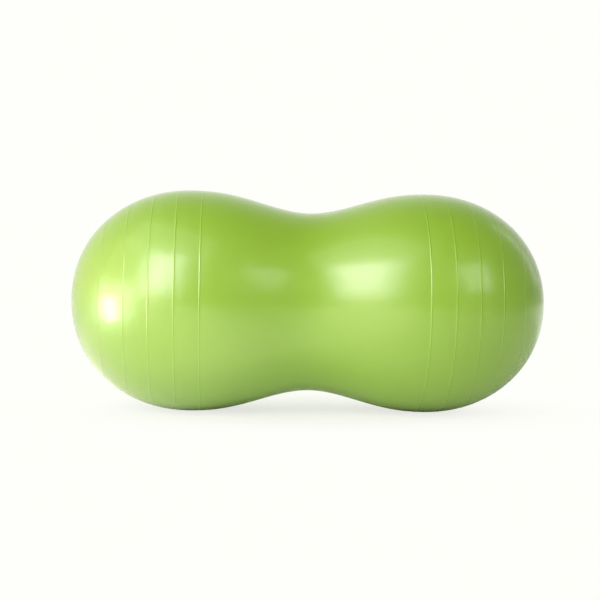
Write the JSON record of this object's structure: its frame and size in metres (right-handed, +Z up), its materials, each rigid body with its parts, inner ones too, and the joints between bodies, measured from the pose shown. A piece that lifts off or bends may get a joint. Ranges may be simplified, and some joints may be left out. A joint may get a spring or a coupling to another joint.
{
  "type": "peanut ball",
  "caption": "Peanut-shaped inflated vinyl exercise ball with a narrow waist, raised grip ribs round each lobe and a pull-out stopper in the valve at one end.",
  "frame": {"origin": "on the floor, under the middle of the ball (bottom centre of its box)", "axes": "+X along the long axis towards the valve, +Z up; the ball rests on z = 0"},
  "size_m": [0.9993, 0.467, 0.4645],
  "materials": {
    "vinyl_skin": "satin",
    "vinyl_seat": "satin",
    "white_plug": "satin"
  },
  "bodies": {
    "ball": {"skin": "vinyl_skin", "valve_seat": "vinyl_seat"},
    "stopper": {"plug": "white_plug"}
  },
  "joints": [
    {"name": "plug_pull", "type": "slide", "parent": "ball", "child": "stopper", "axis": [1, 0, 0], "range_m": [0, 0.03]}
  ]
}
